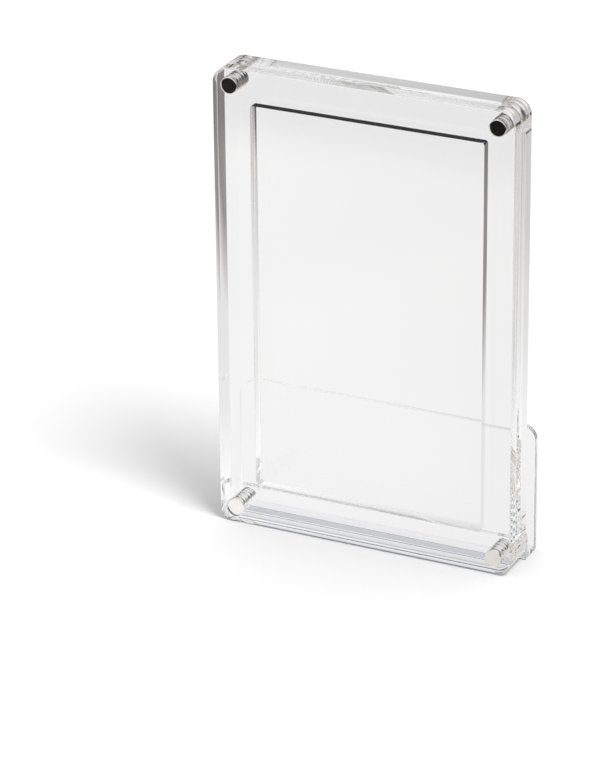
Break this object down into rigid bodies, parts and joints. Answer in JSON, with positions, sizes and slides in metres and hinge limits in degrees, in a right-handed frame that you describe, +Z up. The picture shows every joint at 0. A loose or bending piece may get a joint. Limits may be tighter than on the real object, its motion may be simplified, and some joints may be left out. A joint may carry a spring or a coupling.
{
  "type": "trading card display case",
  "caption": "Clear upright display case for a graded trading card: magnet-closed cover over a pocketed tray, with a clear magnetic stand behind it.",
  "frame": {"origin": "centre of the rectangle that the case and its stand cover on the table, at table height", "axes": "+X to the viewer's right along the case's width, -Y out of the cover's face towards the viewer, +Z up"},
  "size_m": [0.105, 0.0232, 0.162],
  "materials": {
    "clear_acrylic": "clear cast acrylic, polished faces and edges",
    "stand_acrylic": "clear acrylic sheet, polished faces and sawn, flame-polished edges",
    "magnet_nickel": "bright nickel plating"
  },
  "bodies": {
    "tray": {"rear_tray": "clear_acrylic", "tray_magnet_lower_left_front": "magnet_nickel", "tray_magnet_lower_left_middle": "magnet_nickel", "tray_magnet_lower_left_rear": "magnet_nickel", "tray_magnet_lower_right_front": "magnet_nickel", "tray_magnet_lower_right_middle": "magnet_nickel", "tray_magnet_lower_right_rear": "magnet_nickel", "tray_magnet_upper_left_front": "magnet_nickel", "tray_magnet_upper_left_middle": "magnet_nickel", "tray_magnet_upper_left_rear": "magnet_nickel", "tray_magnet_upper_right_front": "magnet_nickel", "tray_magnet_upper_right_middle": "magnet_nickel", "tray_magnet_upper_right_rear": "magnet_nickel"},
    "cover": {"front_cover": "clear_acrylic", "cover_magnet_lower_left_outer": "magnet_nickel", "cover_magnet_lower_left_inner": "magnet_nickel", "cover_magnet_lower_right_outer": "magnet_nickel", "cover_magnet_lower_right_inner": "magnet_nickel", "cover_magnet_upper_left_outer": "magnet_nickel", "cover_magnet_upper_left_inner": "magnet_nickel", "cover_magnet_upper_right_outer": "magnet_nickel", "cover_magnet_upper_right_inner": "magnet_nickel"},
    "stand": {"stand_front_wall": "stand_acrylic", "stand_base": "stand_acrylic", "stand_back_plate": "stand_acrylic", "stand_magnet_left": "magnet_nickel", "stand_magnet_right": "magnet_nickel"}
  },
  "joints": [
    {"name": "cover_pull_off", "type": "slide", "parent": "tray", "child": "cover", "axis": [0, -1, 0], "range_m": [0, 0.03]},
    {"name": "stand_pull_off", "type": "slide", "parent": "tray", "child": "stand", "axis": [0, 1, 0], "range_m": [0, 0.03]}
  ]
}
